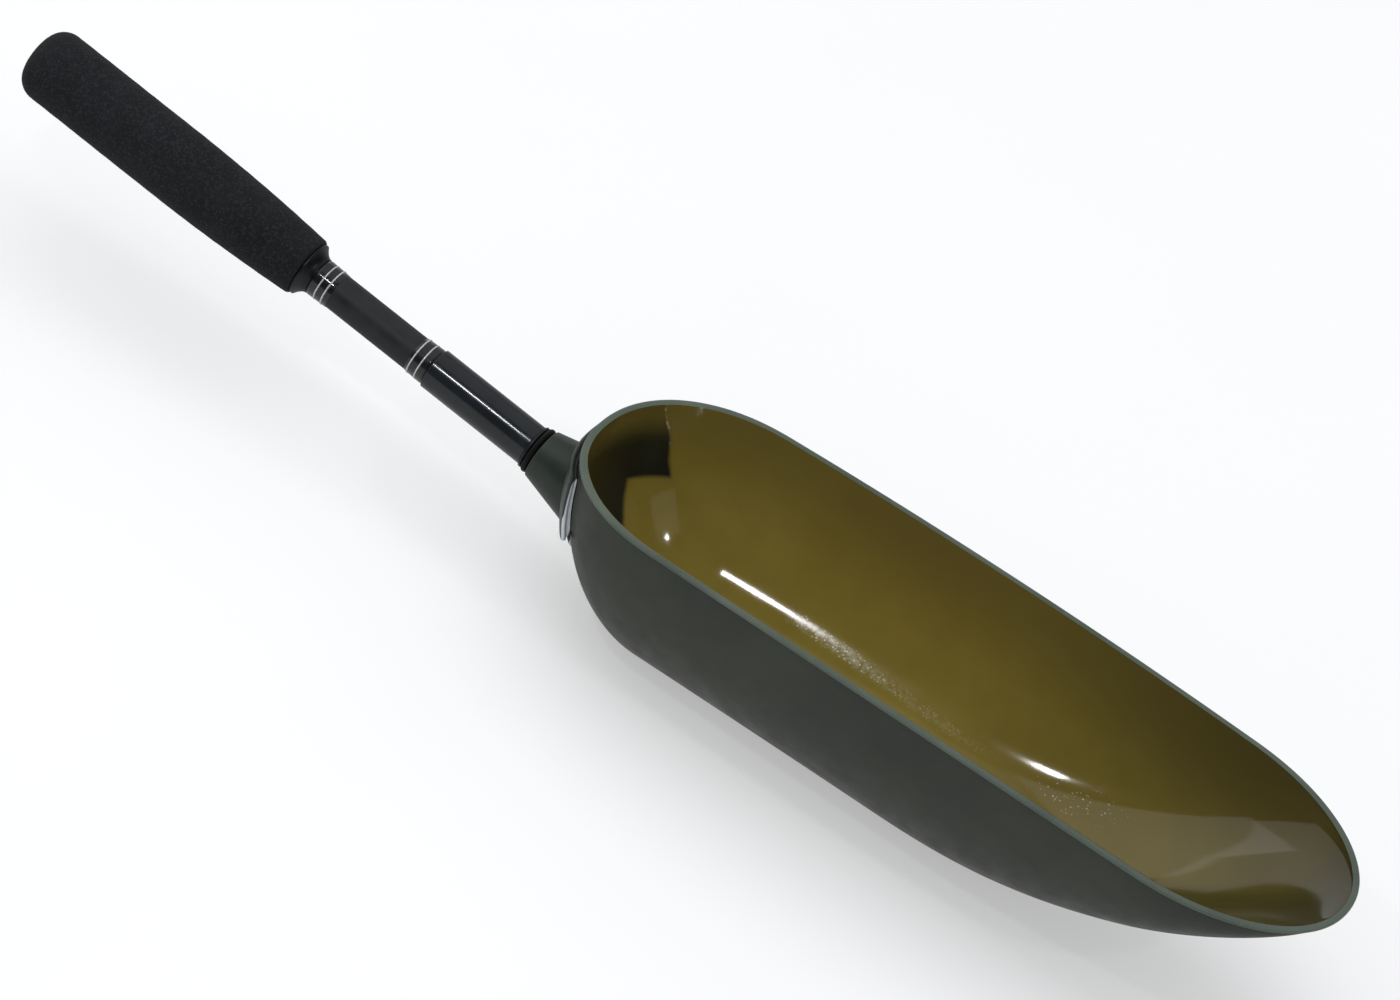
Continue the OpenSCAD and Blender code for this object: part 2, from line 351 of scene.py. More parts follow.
def axial(m):
    """Station along the handle, in metres from its datum, from the object coordinates."""
    n = m.nt.nodes.new("ShaderNodeVectorMath")
    n.operation = "SUBTRACT"
    m.link(m.coord, n.inputs[0])
    n.inputs[1].default_value = row(*DATUM)
    d = m.nt.nodes.new("ShaderNodeVectorMath")
    d.operation = "DOT_PRODUCT"
    m.link(n.outputs[0], d.inputs[0])
    d.inputs[1].default_value = AXIS
    return d.outputs["Value"]


def olive_plastic(m, x, y, z, big):
    """The inside's colour: mottled olive, with painted shade where less light comes through the plastic,
    and more painted shade on the tip.
    """
    olive = m.ramp(big, [(0.3, lin(116, 101, 42)), (0.5, lin(123, 108, 45)), (0.72, lin(130, 115, 52))])
    olive = m.mix(m.span(m.noise(90.0, 5.0), 0.35, 0.75, 0.0, 0.22), olive, lin(104, 91, 40))
    # painted shade: darker under the rim
    top = m.level(z, -38, -2)
    olive = m.mix(m.times(top, 0.62), olive, lin(96, 83, 41))
    # painted shade: darker along the wall towards the tip
    tip, on_wall = m.along(x, 130, 290), m.level(z, -46, -12, 0.62, 0.92)
    olive = m.mix(m.times(tip, on_wall), olive, lin(70, 62, 29))
    # painted shade: a dark band on the tip's near half
    near_tip = m.times(m.along(x, 225, 270), m.span(y, 0.014, 0.002))
    olive = m.mix(m.times(near_tip, 0.75), olive, lin(58, 54, 28))
    # painted shade: the tip's end darker still
    end = m.along(x, 290, 312)
    return m.mix(m.times(end, 0.8), olive, lin(50, 47, 26))


def saddle_shadow(m, x, y, z):
    """Where the saddle and the socket behind the back wall keep the light out of the plastic.

    Gives that, how far a point is past the saddle's wing, and where the back wall is."""
    ragged = m.times(m.math("SUBTRACT", m.noise(90.0, 3.0), 0.5), 0.0016)
    off_middle = m.math("ADD", m.math("ABSOLUTE", y), ragged)
    back_wall = m.along(x, 30, 27)
    past_wing = m.math("SUBTRACT", off_middle, m.level(z, -16, 0, 0.0343, 0.0303))
    past_tongue = m.math("SUBTRACT", off_middle, m.level(z, -43.5, -28, 0.0130, 0.0192, False))
    wing = m.times(m.span(past_wing, 0.0006, -0.0010), m.level(z, -30.2, -27.8))
    tongue = m.times(m.span(past_tongue, 0.0014, -0.0018), m.level(z, -48, -43))
    fade = m.level(z, -3, -16.5, 0.34, 1.0)
    return m.times(m.math("MAXIMUM", wing, tongue), back_wall, fade), past_wing, back_wall


def painted_crease_highlight(m, y, z, past_wing, back_wall):
    """A painted highlight: a pale broken line with a few pale specks beside the saddle's edge, on the
    far side.
    """
    line = m.math("ABSOLUTE", m.math("ADD", past_wing, m.times(m.noise(140.0, 2.0), 0.0006)))
    far_side = m.math("GREATER_THAN", y, 0.0)
    patchy = m.span(m.noise(480.0, 2.0), 0.46, 0.62, 0.15, 0.9)
    return m.times(m.span(line, 0.0006, 0.0001), m.level(z, -20, -12), far_side, back_wall, patchy)


def wear_and_painted_glints(m, x, y):
    """The line where the load slides, scratched and worn: gives a painted highlight streak along it and
    painted glint specks on it.
    """
    line_y = m.along(x, 84, 165, 0.0337, 0.0313, False)
    off_line = m.math("ABSOLUTE", m.math("SUBTRACT", y, line_y))
    worn_and_lit = m.times(m.along(x, 80, 92), m.along(x, 106, 140, 1.0, 0.25), m.along(x, 150, 185, 1.0, 0.0))
    again = m.times(m.along(x, 185, 200, 0.0, 0.75), m.along(x, 206, 238, 1.0, 0.0))
    patchy = m.span(m.noise(600.0, 3.0, 0.7), 0.40, 0.62, 0.1, 1.0)
    painted_streak = m.times(worn_and_lit, patchy, m.span(off_line, 0.0024, 0.0002))
    distance, chance = m.voronoi(850.0)
    glint_dots = m.times(m.span(distance, 0.34, 0.16), m.span(chance, 0.42, 0.52))
    thin, wide = m.span(off_line, 0.0030, 0.0003), m.span(off_line, 0.0065, 0.0012)
    clumps = m.span(m.noise(230.0, 3.0, 0.6), 0.42, 0.60)
    where = m.math("ADD", m.times(worn_and_lit, thin), m.times(again, wide, clumps))
    return painted_streak, m.times(glint_dots, where)


def bowl_inside():
    m = Mat("bowl_inside", IOR=1.5)
    x, y, z = xyz(m)
    big = m.noise(14.0, 3.0)
    dark, past_wing, back_wall = saddle_shadow(m, x, y, z)
    painted_streak, painted_specks = wear_and_painted_glints(m, x, y)
    base = m.mix(dark, olive_plastic(m, x, y, z, big), lin(23, 25, 18))
    # painted highlight: a pale line beside the saddle's edge on the far side
    base = m.mix(painted_crease_highlight(m, y, z, past_wing, back_wall), base, lin(150, 143, 112))
    # painted highlight on the worn line: a pale streak and bright glint specks
    base = m.mix(m.times(painted_streak, 0.6), base, lin(180, 178, 156))
    m.colour(m.mix(m.times(painted_specks, 0.9), base, lin(235, 233, 220)))
    shine = m.span(m.noise(55.0, 4.0), *NOISE_RANGE, 0.065, 0.115, False)
    dull = m.math("ADD", m.times(painted_streak, 0.05), m.times(dark, 0.16))
    m.link(m.math("ADD", shine, dull), m.bsdf.inputs["Roughness"])
    scratches = m.noise(420.0, 3.0, 0.6, stretch=(0.25, 1.0, 1.0))
    # the ramp in the photograph looks flatter by the tip than this section, so its shading is tilted
    flat = m.times(m.along(x, 190, 255), m.along(x, 272, 318, 1.0, 0.15),
                   m.span(y, -0.010, 0.026, -1.0, 0.0))
    m.bump((flat, 1.0, 0.0042), (big, 0.05, 0.0012), (scratches, 0.04, 0.0001))
    return m.mat


def bowl_outside():
    m = Mat("bowl_outside", Roughness=0.42, IOR=1.46)
    grain = m.noise(900.0, 3.0, 0.6)
    cloud = m.noise(22.0, 4.0)
    base = m.ramp(cloud, [(0.3, lin(43, 48, 40)), (0.55, lin(48, 53, 44)), (0.8, lin(54, 59, 49))])
    # painted light from the floor: the lower wall mixed towards a lighter, greyer colour
    low = m.level(xyz(m)["Z"], -35, -68)
    base = m.mix(m.times(low, 0.5), base, lin(53, 55, 48))
    m.colour(base)
    m.rough(m.noise(120.0, 5.0), 0.36, 0.5)
    m.bump((cloud, 0.10, 0.0012), (grain, 0.18, 0.00012))
    return m.mat


def bowl_rim():
    m = Mat("bowl_rim", Roughness=0.3, IOR=1.5)
    grain = m.noise(500.0, 4.0)
    cloud = m.noise(30.0, 3.0)
    m.colour(m.ramp(cloud, [(0.3, lin(68, 79, 69)), (0.55, lin(77, 88, 77)), (0.8, lin(88, 98, 86))]))
    m.rough(cloud, 0.24, 0.38)
    m.bump((grain, 0.2, 0.00015))
    return m.mat


def moulded(name, dark, mid, light, rough=(0.3, 0.42), scale=40.0):
    m = Mat(name, IOR=1.48)
    cloud = m.noise(scale, 4.0)
    m.colour(m.ramp(cloud, [(0.3, lin(*dark)), (0.5, lin(*mid)), (0.75, lin(*light))]))
    m.rough(m.noise(scale * 3, 4.0), *rough)
    m.bump((cloud, 0.08, 0.0006), (m.noise(1100.0, 3.0), 0.2, 0.0001))
    return m.mat


def saddle_edge(name, rough=0.3):
    """Pale edge of the saddle: a pale wedge that widens downwards, dark green round it."""
    m = Mat(name, IOR=1.48)
    x, _, z = xyz(m)
    down = m.math("SUBTRACT", ORIGIN.z, z)
    cloud = m.noise(60.0, 4.0)
    pale = m.ramp(cloud, [(0.3, lin(172, 177, 179)), (0.5, lin(188, 193, 195)),
                          (0.75, lin(202, 207, 209))])
    green = m.ramp(cloud, [(0.3, lin(30, 35, 31)), (0.5, lin(36, 41, 36)), (0.75, lin(42, 47, 42))])
    outer = m.span(down, 0.005, 0.018, ORIGIN.x + 0.0092, ORIGIN.x + 0.0117, False)
    inner = m.span(down, 0.008, 0.028, ORIGIN.x + 0.0138, ORIGIN.x + 0.0158, False)
    wedge = m.times(m.span(m.math("SUBTRACT", x, outer), -0.0002, 0.0002),
                    m.span(m.math("SUBTRACT", x, inner), 0.0002, -0.0002))
    m.colour(m.mix(wedge, green, pale))
    m.rough(cloud, rough * 0.85, rough * 1.15)
    m.bump((m.noise(1100.0, 3.0), 0.2, 0.0001))
    return m.mat


def foam():
    m = Mat("grip_foam", IOR=1.4, Specular_IOR_Level=0.26, Sheen_Weight=0.02, Sheen_Roughness=0.5)
    cells, grain = m.voronoi(1500.0)
    pits, _ = m.voronoi(420.0)
    cloud = m.noise(45.0, 5.0)
    base = m.ramp(cloud, [(0.25, lin(18, 19, 22)), (0.55, lin(24, 25, 28)), (0.8, lin(30, 31, 34))])
    base = m.mix(m.span(grain, 0.45, 0.95, 0.0, 0.5), base, lin(46, 48, 52))
    # painted shade: the pits are darker
    m.colour(m.mix(m.span(pits, 0.05, 0.22, 0.35, 0.0), base, lin(14, 14, 15)))
    m.rough(cloud, 0.72, 0.86)
    m.bump((cloud, 0.12, 0.0008), (m.span(pits, 0.05, 0.28), 0.25, 0.00015), (cells, 0.3, 0.0001))
    return m.mat


def blank():
    m = Mat("blank_fibre", IOR=1.5, Specular_IOR_Level=0.42)
    # fibre bands: a noise that changes along the handle only
    station = m.node("ShaderNodeCombineXYZ")
    m.link(axial(m), station.inputs[0])
    wave = m.node("ShaderNodeTexNoise", Scale=1600.0, Detail=3.0)
    m.link(station.outputs[0], wave.inputs["Vector"])
    cloud = m.noise(120.0, 5.0)
    m.colour(m.ramp(cloud, [(0.3, lin(26, 29, 32)), (0.55, lin(32, 35, 38)), (0.8, lin(39, 42, 46))]))
    m.rough(cloud, 0.44, 0.56)
    m.bump((wave.outputs["Fac"], 0.25, 0.00012), (m.noise(900.0, 3.0), 0.12, 0.00008))
    return m.mat


THREAD_PITCH = 0.32


def whipping():
    m = Mat("whipping_coat", IOR=1.52, Coat_Weight=0.9, Coat_Roughness=0.05)
    thread = m.math("SINE", m.times(axial(m), 2 * math.pi / (THREAD_PITCH * MM)))
    cloud = m.noise(80.0, 4.0)
    fac = m.span(thread, -1.0, 1.0, 0.0, 1.0, False)
    # painted shade: the grooves between the thread's turns are darker than its crests
    m.colour(m.mix(fac, lin(14, 15, 17), lin(27, 29, 32)))
    m.rough(cloud, 0.25, 0.36)
    m.bump((thread, 0.2, 0.00006), (cloud, 0.2, 0.0006))
    return m.mat


def gloss_tube():
    m = Mat("tube_gloss", IOR=1.5, Coat_Weight=0.25, Coat_Roughness=0.06)
    cloud = m.noise(60.0, 4.0)
    m.colour(m.ramp(cloud, [(0.3, lin(24, 28, 31)), (0.6, lin(30, 34, 38)), (0.85, lin(37, 41, 45))]))
    m.rough(m.noise(300.0, 4.0), 0.14, 0.24)
    return m.mat


def bright_metal(name, colour, rough, metallic=1.0):
    m = Mat(name, Metallic=metallic)
    line = m.noise(900.0, 3.0)
    m.colour(m.ramp(line, [(0.3, lin(*[int(c * 0.86) for c in colour])), (0.7, lin(*colour))]))
    m.rough(m.noise(250.0, 3.0), rough * 0.8, rough * 1.3)
    m.bump((line, 0.12, 0.00005))
    return m.mat


def seal():
    m = Mat("seal_rubber", IOR=1.45, Specular_IOR_Level=0.3)
    cloud = m.noise(200.0, 4.0)
    m.colour(m.ramp(cloud, [(0.3, lin(9, 10, 10)), (0.7, lin(15, 16, 16))]))
    m.rough(cloud, 0.5, 0.65)
    m.bump((m.noise(1500.0, 3.0), 0.2, 0.00006))
    return m.mat


def floor_mat():
    """Pale paper with some light of its own, which makes the shadow lighter."""
    m = Mat("floor_paper", Roughness=0.9, Specular_IOR_Level=0.1,
            Emission_Color=(1.0, 1.0, 1.0, 1.0), Emission_Strength=0.40)
    cloud = m.noise(2.5, 3.0)
    m.colour(m.ramp(cloud, [(0.3, (0.52, 0.52, 0.52, 1)), (0.7, (0.54, 0.54, 0.54, 1))]))
    m.bump((m.noise(500.0, 3.0), 0.05, 0.0002))
    return m.mat


INSIDE, OUTSIDE, RIM = bowl_inside(), bowl_outside(), bowl_rim()
SOCKET = moulded("socket_plastic", (32, 39, 34), (38, 46, 40), (46, 54, 47))
SADDLE = saddle_edge("saddle_plastic")
PLUG = moulded("plug_plastic", (15, 17, 19), (21, 23, 25), (28, 30, 32))
PAD = saddle_edge("pad_foam", 0.6)
CHECK = moulded("check_metal", (10, 12, 14), (14, 17, 20), (20, 23, 26), (0.34, 0.44), 90.0)
FOAM, BLANK, WHIPPING, TUBE, SEAL = foam(), blank(), whipping(), gloss_tube(), seal()
TRIM = bright_metal("trim_metal", (206, 209, 212), 0.2, 0.25)
BRASS = bright_metal("insert_brass", (196, 160, 92), 0.22)
STEEL = bright_metal("stud_steel", (190, 192, 195), 0.24)


# ---------------------------------------------------------------- bowl
# the rim's section as (out, height): the lip's two corners in turns of 30 degrees, then the inner edge
LIP_UNDER = [(-0.2, -BEAD_H), (-0.1, -BEAD_H + 0.027), (-0.027, -BEAD_H + 0.1), (0.0, -BEAD_H + 0.2)]
LIP_TOP = [(0.0, -0.28), (-0.0375, -0.14), (-0.14, -0.0375), (-0.28, 0.0)]
INNER_EDGE = [(-BEAD - WALL + 0.34, 0.0), (-BEAD - WALL + 0.1, -0.08)]
INSIDE_SLOT, OUTSIDE_SLOT, RIM_SLOT = 0, 1, 2


def bowl():
    """The shell as one closed sheet of strips: outside, lip, flat top, inside."""
    n_s, n_t = 190, 84
    verts, faces, mats = [], [], []

    def grid(d, drop, thick, flip, mat):
        """One face of the wall; gives its edge, round the tip and back."""
        base = len(verts)
        for i in range(n_s + 1):
            for j in range(n_t + 1):
                verts.append(skin(i / n_s, 2 * j / n_t - 1, d, drop, thick))
        for i in range(n_s):
            for j in range(n_t):
                p = base + i * (n_t + 1) + j
                f = (p, p + 1, p + n_t + 2, p + n_t + 1)
                faces.append(f[::-1] if flip else f)
                mats.append(mat)
        return ([base + i * (n_t + 1) for i in range(n_s + 1)]
                + [base + i * (n_t + 1) + n_t for i in range(n_s - 1, 0, -1)])

    outer = grid(BEAD, BEAD_H, 0.0, False, OUTSIDE_SLOT)
    inner = grid(BEAD + WALL, 0.0, WALL, True, INSIDE_SLOT)

    def loop(out, z):
        """A copy of the rim line, moved out (negative: in) and to a height, in millimetres."""
        base = len(verts)
        for k in range(2 * n_s):
            s = k / n_s if k <= n_s else 2 - k / n_s
            p = skin(s, -1.0 if k <= n_s else 1.0, -out, 0.0, 0.0)
            verts.append(p + Vector((0, 0, z * MM)))
        return list(range(base, base + 2 * n_s))

    steps = [outer] + [loop(out, z) for out, z in LIP_UNDER + LIP_TOP + INNER_EDGE] + [inner]
    for a, b in zip(steps, steps[1:]):
        slot = INSIDE_SLOT if b is inner else RIM_SLOT
        for k in range(2 * n_s):
            q = (k + 1) % (2 * n_s)
            faces.append((a[k], b[k], b[q], a[q]))
            mats.append(slot)
    return verts, faces, mats


verts, faces, mats = bowl()
scoop = add_mesh("scoop_shell", verts, faces, [INSIDE, OUTSIDE, RIM], mats)
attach(scoop, "bowl")
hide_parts("scoop_bowl")

# ---------------------------------------------------------------- saddle
SADDLE_TOP, SADDLE_LOW, WING_LOW = -4.5, -43.5, -26.5
SADDLE_HALF, TONGUE_HALF, PLATE_T = 34.0, 19.0, 1.7
SHOULDER, TOP_CORNER = 5.0, 2.5
LOW_CORNER, LOW_CUT, TONGUE_TAPER = 4.0, 5.0, 5.0
WING_TAPER, TAPER_END = 3.0, 16.0
GAP_TOP, GAP_GROWTH = 1.2, 1.3
PLATE_EDGE, PLATE_CUT = 0.45, 0.12


def wing_half(z):
    """Half width of the saddle at a height: wide wings above, a narrower tongue below."""
    v = min(max((WING_LOW - z) / SHOULDER, 0), 1)
    s = v * v * (3 - 2 * v)
    t = max((z - SADDLE_TOP + TOP_CORNER) / TOP_CORNER, 0)
    b = max((SADDLE_LOW + LOW_CORNER - z) / LOW_CORNER, 0)
    wings = SADDLE_HALF - WING_TAPER * max(1 + z / TAPER_END, 0) ** 2
    tongue = TONGUE_HALF - TONGUE_TAPER * max(WING_LOW - z, 0) / (WING_LOW - SADDLE_LOW)
    return (wings * (1 - s) + tongue * s - TOP_CORNER * (1 - math.sqrt(max(1 - t * t, 0)))
            - LOW_CUT * (1 - math.sqrt(max(1 - b * b, 0))))


def stand_off(z):
    """The gap between the bowl's wall and the plate, which grows downwards."""
    return GAP_TOP + GAP_GROWTH * (SADDLE_TOP - z) / (SADDLE_TOP - SADDLE_LOW)


def saddle():
    """The plate as layers from its inner to its outer face, drawn in at both for a soft edge."""
    rows, cols = 60, 60
    edge, soft = PLATE_EDGE, PLATE_EDGE * 1.6
    layers = [(0.0, edge), (edge, PLATE_CUT), (soft, 0.0),
              (PLATE_T - soft, 0.0), (PLATE_T - edge, PLATE_CUT), (PLATE_T, edge)]
    verts, faces, mats = [], [], []
    c1 = cols + 1
    m = (rows + 1) * c1
    for lift, inset in layers:
        for r in range(rows + 1):
            down = (1 - math.cos(math.pi * r / rows)) / 2
            z = SADDLE_TOP - inset - (SADDLE_TOP - SADDLE_LOW - 2 * inset) * down
            for c in range(c1):
                y = (wing_half(z) - inset) * (2 * c / cols - 1)
                verts.append(row(*off_wall(y, z, stand_off(z) + lift)))
    last = (len(layers) - 1) * m
    for r in range(rows):
        for c in range(cols):
            p = r * c1 + c
            faces.append((p, p + c1, p + c1 + 1, p + 1))
            faces.append((last + p, last + p + 1, last + p + c1 + 1, last + p + c1))
            mats += [0, 0]
    ring = (list(range(cols)) + [r * c1 + cols for r in range(rows)]
            + [rows * c1 + cols - c for c in range(cols)] + [(rows - r) * c1 for r in range(rows)])
    for k in range(len(layers) - 1):
        for i, p in enumerate(ring):
            q = ring[(i + 1) % len(ring)]
            faces.append((k * m + p, k * m + q, (k + 1) * m + q, (k + 1) * m + p))
            # the side edges, of the wings and the tongue, have the pale-wedge material
            at_side = cols <= i < cols + rows or i >= 2 * cols + rows
            mats.append(1 if at_side else 0)
    return verts, faces, mats


verts, faces, mats = saddle()
plate = add_mesh("saddle_plate_shell", verts, faces, [SOCKET, SADDLE], mats, smooth_angle=50)
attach(plate, "bowl")
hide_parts("saddle_plate")

# ---------------------------------------------------------------- socket
MOUTH, SOCKET_R, SOCKET_BORE, LIP_R = 15.9, 9.8, 7.4, 0.7
NECK_A, NECK_R = MOUTH - 0.8, SOCKET_R + 0.15
FOOT_A, FOOT_R = -15.0, 17.2
FOOT_SEARCH, FILLET = (-24.0, MOUTH - 2), 2.6


def cone_r(a):
    return NECK_R + (FOOT_R - NECK_R) * (NECK_A - a) / (NECK_A - FOOT_A)


def foot_station(phi):
    """Where the cone's surface meets the plate's outer face."""
    lo, hi = FOOT_SEARCH
    for _ in range(HALVINGS):
        mid = (lo + hi) / 2
        p = on_axis(mid, cone_r(mid), phi)
        face = off_wall(p.y, p.z, stand_off(p.z) + PLATE_T)
        if p.x > face.x:
            lo = mid
        else:
            hi = mid
    return (lo + hi) / 2


def socket():
    """The cone from its mouth down to the plate, where a fillet spreads it."""
    steps, down = 120, 26
    verts, faces = [], []
    for k in range(steps):
        phi = 2 * math.pi * k / steps
        foot = foot_station(phi)
        col = [on_axis(MOUTH, SOCKET_BORE, phi)]
        col += [on_axis(a, r, phi) for a, r in rounded(MOUTH - LIP_R, SOCKET_R - 0.6, LIP_R, 0, 80)]
        for i in range(1, down + 1):
            a = NECK_A + (foot - NECK_A) * i / down
            lift = max(0.0, 1 - (a - foot) / FILLET) ** 2 * FILLET * 0.55
            col.append(on_axis(a, cone_r(a) + lift, phi))
        col.append(on_axis(foot - 0.8, cone_r(foot) + FILLET * 0.4, phi))
        verts += [row(*p) for p in col]
    n = len(verts) // steps
    for k in range(steps):
        q = (k + 1) % steps
        for i in range(n - 1):
            faces.append((k * n + i, k * n + i + 1, q * n + i + 1, q * n + i))
    return verts, faces


verts, faces = socket()
cone = add_mesh("socket_body", verts, faces, [SOCKET])
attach(cone, "bowl")
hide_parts("handle_socket")


# ---------------------------------------------------------------- handle
# stations along the handle and radii from its axis, in millimetres
SEAL_A, SEAL_R, SEAL_T = 17.45, 8.15, 1.25
PLUG_A, PLUG_END, PLUG_BORE, SPIGOT_R = 16.5, 38.0, 5.0, 6.8
COLLAR_A, COLLAR_END, COLLAR_R, CORNER = 19.0, 20.0, 8.75, 0.3
TUBE_SIZE, BLANK_SIZE = (20.05, 66.2, 7.1, 8.1), (39.0, 243.0, 6.0, 7.0)
FRONT_RINGS, REAR_RINGS = (69.8, 73.3), (113.9, 117.1)
RING_IN, RING_R, RING_T = 7.1, 7.26, 0.30
COAT_IN, COAT_THIN, COAT_RUN = 7.02, 7.06, 1.0
FRONT_COAT, REAR_COAT = (66.4, 74.6, 7.5, 7.2), (111.6, 120.7, 7.2, 7.5)
CHECK_A, CHECK_R, CHECK_RUN, CHECK_RISE, CHECK_POW = 120.8, 7.5, 4, 3.3, 1.8
CHECK_END, CHECK_CORNER = 125.6, 0.28
GRIP_A, GRIP_END, GRIP_R, GRIP_BORE = 125.9, 254.5, 14.25, 7.2
BARREL, GRIP_TAPER, FRONT_ROUND, BUTT = 190.0, 2.5, 1.4, 8.0
DENT, RIPPLE, SKIN, SKIN_FROM = 0.03, 0.02, 0.05, 7.5


def turned(name, node, profile, mat, body="handle"):
    obj = lathe(name, profile, mat)
    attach(obj, body)
    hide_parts(node)


turned("seal_ring", "o_ring", rounded(SEAL_A, SEAL_R, SEAL_T, 0, 345, 23), SEAL, "seal")
turned("end_collar", "tube_end_plug",
       [(PLUG_A + 0.1, PLUG_BORE), (PLUG_A, SPIGOT_R - 0.2),
        (PLUG_A + 0.2, SPIGOT_R), (COLLAR_A, SPIGOT_R)]
       + rounded(COLLAR_A + CORNER, COLLAR_R - CORNER, CORNER, 180, 90)
       + rounded(COLLAR_END - CORNER, COLLAR_R - CORNER, CORNER, 90, 0)
       + [(COLLAR_END, SPIGOT_R + 0.2), (PLUG_END, SPIGOT_R + 0.1), (PLUG_END, PLUG_BORE)],
       PLUG)
turned("tube_body", "lower_tube", tube_profile(*TUBE_SIZE, 0.35), TUBE)
turned("blank_body", "upper_blank", tube_profile(*BLANK_SIZE, 0.2), BLANK)


def coat(a0, a1, r0, r1):
    """A whipping's coat: swollen in the middle, thin at its ends."""
    n = 40
    pts = [(a0, COAT_IN)]
    for i in range(n + 1):
        t = i / n
        a = a0 + (a1 - a0) * t
        end = min(t, 1 - t) * (a1 - a0)
        body = 1 - max(0.0, 1 - end / COAT_RUN) ** 2
        pts.append((a, COAT_THIN + (r0 + (r1 - r0) * t - COAT_THIN) * body))
    return pts + [(a1, COAT_IN)]


turned("front_whipping", "whipping_front", coat(*FRONT_COAT), WHIPPING)
turned("rear_whipping", "whipping_rear", coat(*REAR_COAT), WHIPPING)
for k, a in enumerate(FRONT_RINGS + REAR_RINGS):
    turned(f"bright_ring_{k + 1}", f"trim_ring_{k + 1}",
           [(a - RING_T, RING_IN)] + rounded(a, RING_R, RING_T, 165, 15, 8) + [(a + RING_T, RING_IN)],
           TRIM)

check = [(CHECK_A, RING_IN)]
check += [(CHECK_A + CHECK_RUN * s, CHECK_R + CHECK_RISE * s ** CHECK_POW)
          for s in [i / 20 for i in range(21)]]
check += rounded(CHECK_END - 0.3, CHECK_R + CHECK_RISE - 0.25, CHECK_CORNER, 90, 0)
check += [(CHECK_END, RING_IN)]
turned("check_cone", "winding_check", check, CHECK)


def grip_r(a):
    return GRIP_R - GRIP_TAPER * max((BARREL - a) / (BARREL - GRIP_A), 0) ** 2


def grip():
    """The foam grip: barrel and taper, rounded front, domed butt, with slight dents in its skin."""
    prof = [(GRIP_A + 0.05, GRIP_BORE)]
    front = GRIP_A + FRONT_ROUND
    prof += rounded(front, grip_r(front) - FRONT_ROUND, FRONT_ROUND, 180, 90)
    a = GRIP_A + 2.0
    while a < GRIP_END - BUTT - 0.5:
        prof.append((a, grip_r(a)))
        a += 0.8
    prof += [(GRIP_END - BUTT + BUTT * math.sin(t), GRIP_R - BUTT + BUTT * math.cos(t))
             for t in [math.pi / 2 * i / 16 for i in range(17)]]
    prof += [(GRIP_END, r) for r in (5.0, 3.5, 2.0, 0.6)]
    steps = 180
    verts, faces = [], []
    n = len(prof)
    for k in range(steps):
        phi = 2 * math.pi * k / steps
        for a, r in prof:
            dent = DENT * math.sin(3 * phi + a * 0.21) * math.sin(a * 0.37 + 2 * phi)
            dent += RIPPLE * math.sin(7 * phi - a * 0.83)
            verts.append(row(*on_axis(a, r - SKIN + dent if r > SKIN_FROM else r, phi)))
    for k in range(steps):
        q = (k + 1) % steps
        for i in range(n - 1):
            faces.append((k * n + i, q * n + i, q * n + i + 1, k * n + i + 1))
    faces.append(tuple(k * n + n - 1 for k in range(steps)))
    return verts, faces


verts, faces = grip()
foam_grip = add_mesh("foam_grip", verts, faces, [FOAM])
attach(foam_grip, "handle")
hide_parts("grip")

# the pad, of which only the edges show, and the pieces that are hidden at rest keep their CAD solids
for node, mat in (("saddle_pad", PAD), ("socket_insert", BRASS), ("thread_stud", STEEL),
                  ("blank_plug", PLUG)):
    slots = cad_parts[node].material_slots
    if slots:
        for s in slots:
            s.material = mat
    else:
        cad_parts[node].data.materials.append(mat)

# ---------------------------------------------------------------- floor and light
FLOOR, FLOOR_GAP = 12.0, 0.0004
SKY_COLOUR, SKY_STRENGTH = (0.95, 0.97, 1.0, 1.0), 0.70
floor_mesh = bpy.data.meshes.new("floor")
floor_mesh.from_pydata([(-FLOOR, -FLOOR, 0), (FLOOR, -FLOOR, 0), (FLOOR, FLOOR, 0), (-FLOOR, FLOOR, 0)],
                       [], [(0, 1, 2, 3)])
floor = bpy.data.objects.new("floor", floor_mesh)
floor.location.z = -FLOOR_GAP
scene.collection.objects.link(floor)
floor_mesh.materials.append(floor_mat())


def panel(name, centre, faces, along, size, radiance, glossy=True, diffuse=True):
    """A flat light of a given brightness, and what it lights: reflections, surfaces or both."""
    data = bpy.data.lights.new(name, "AREA")
    data.shape = "RECTANGLE"
    data.size, data.size_y = size
    data.energy = radiance * math.pi * size[0] * size[1]
    obj = bpy.data.objects.new(name, data)
    z = -Vector(faces).normalized()
    side = Vector(along)
    side = (side - z * z.dot(side)).normalized()
    obj.matrix_world = (Matrix.Translation(centre)
                        @ Matrix((side, z.cross(side), z)).transposed().to_4x4())
    obj.visible_glossy = glossy
    obj.visible_diffuse = diffuse
    scene.collection.objects.link(obj)


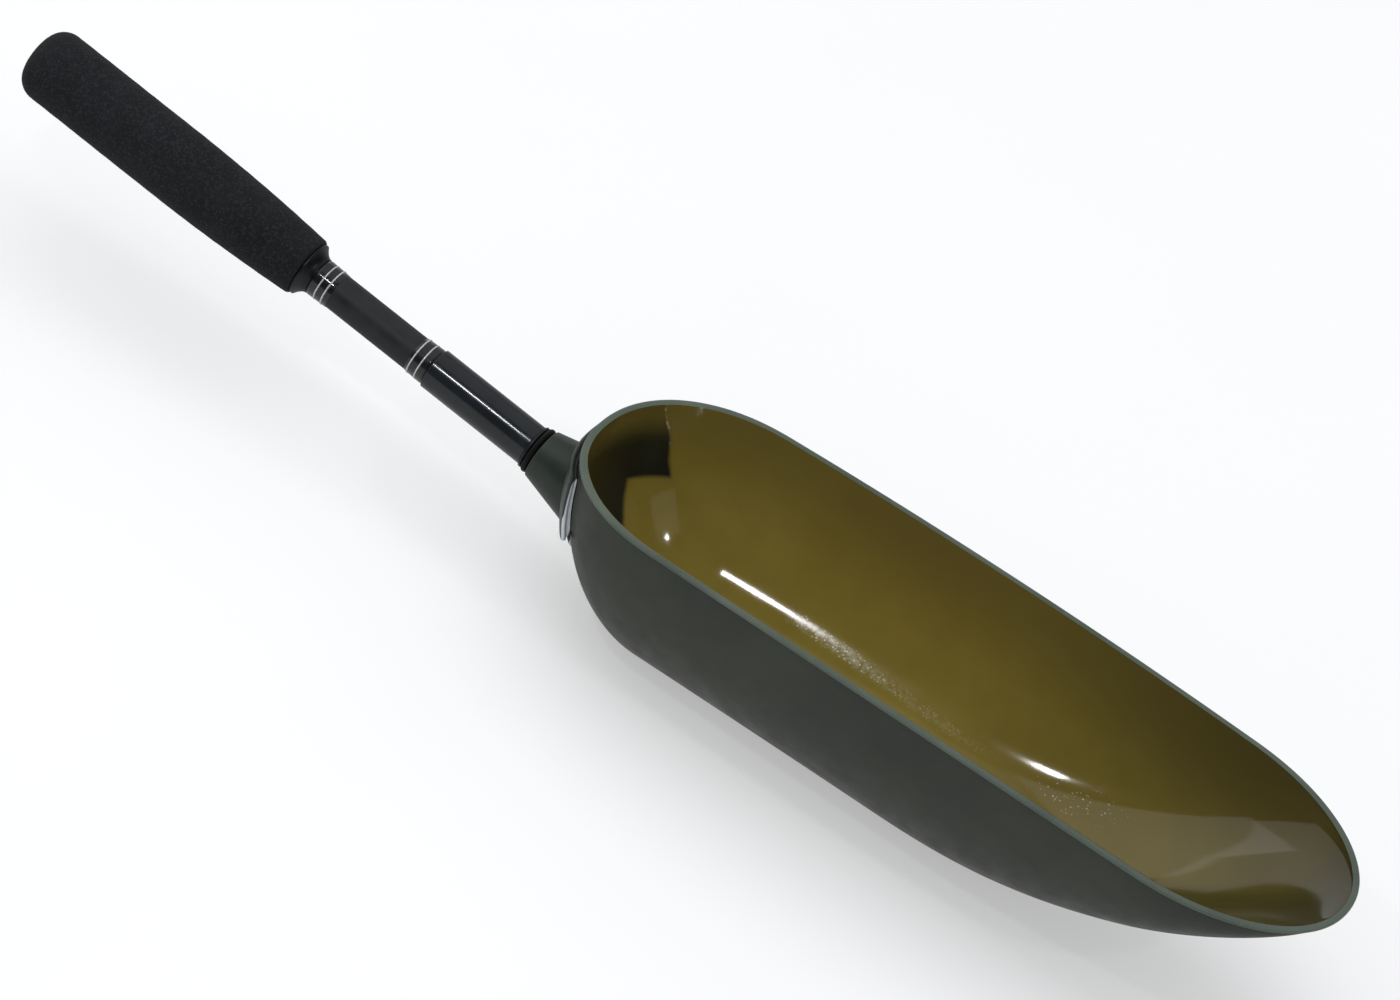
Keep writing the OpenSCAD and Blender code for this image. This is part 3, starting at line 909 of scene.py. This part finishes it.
AIM = Vector((0.03, 0.0, 0.04))
ALONG_X, ALONG_Y = (1.0, 0.0, 0.0), (0.0, 1.0, 0.0)


def towards(centre):
    return AIM - Vector(centre)


# the large light and the sky light the surfaces and make the soft shadow, and show in no reflection
HIGH = (-0.572, 0.343, 2.214)
panel("overhead", HIGH, towards(HIGH), ALONG_X, (2.6, 2.6), 1.3, glossy=False)
# two small lamps make the sharp highlights: one on the near side over the handle, one past the tip
LAMP, SPOT = (-0.1875, -0.618, 0.815), (1.035, -0.307, 0.948)
panel("lamp", LAMP, towards(LAMP), ALONG_X, (0.055, 0.055), 90.0)
panel("spot", SPOT, towards(SPOT), ALONG_X, (0.06, 0.06), 95.0)
# dim cards, seen in the gloss only: one past the tip, and a tent over, behind and beside the part
SIDE_CARD = (1.435, -0.452, 0.826)
panel("side_card", SIDE_CARD, towards(SIDE_CARD), ALONG_Y, (0.8, 0.8), 0.35, diffuse=False)
TENT_EDGE = (0.9247, 0.3806, 0.0)
panel("tent_top", (0.253, 1.231, 2.45), (0, 0, -1), TENT_EDGE, (3.2, 3.4), 0.33, diffuse=False)
panel("tent_far_top", (-2.386, 0.06, 2.45), (0, 0, -1), TENT_EDGE, (2.4, 3.4), 0.74, diffuse=False)
panel("tent_left", (-2.9, 0.8, 1.2), (1, 0, 0), ALONG_Y, (4.8, 2.5), 0.65, diffuse=False)
panel("tent_back", (0.8, 3.2, 1.2), (0, -1, 0), ALONG_X, (3.6, 2.5), 0.28, diffuse=False)
panel("tent_back_left", (-1.95, 3.2, 1.2), (0, -1, 0), ALONG_X, (1.9, 2.5), 0.62, diffuse=False)
# the floor itself shows in no reflection; this stands for it there, dimmer
panel("floor_gloss", (0.0, 0.0, -0.003), (0, 0, 1), ALONG_X, (6.0, 6.0), 0.45, diffuse=False)
floor.visible_glossy = False

world = bpy.data.worlds.new("studio")
scene.world = world
world.use_nodes = True
sky = world.node_tree.nodes["Background"]
sky.inputs[0].default_value = SKY_COLOUR
sky.inputs[1].default_value = SKY_STRENGTH
world.cycles_visibility.glossy = False
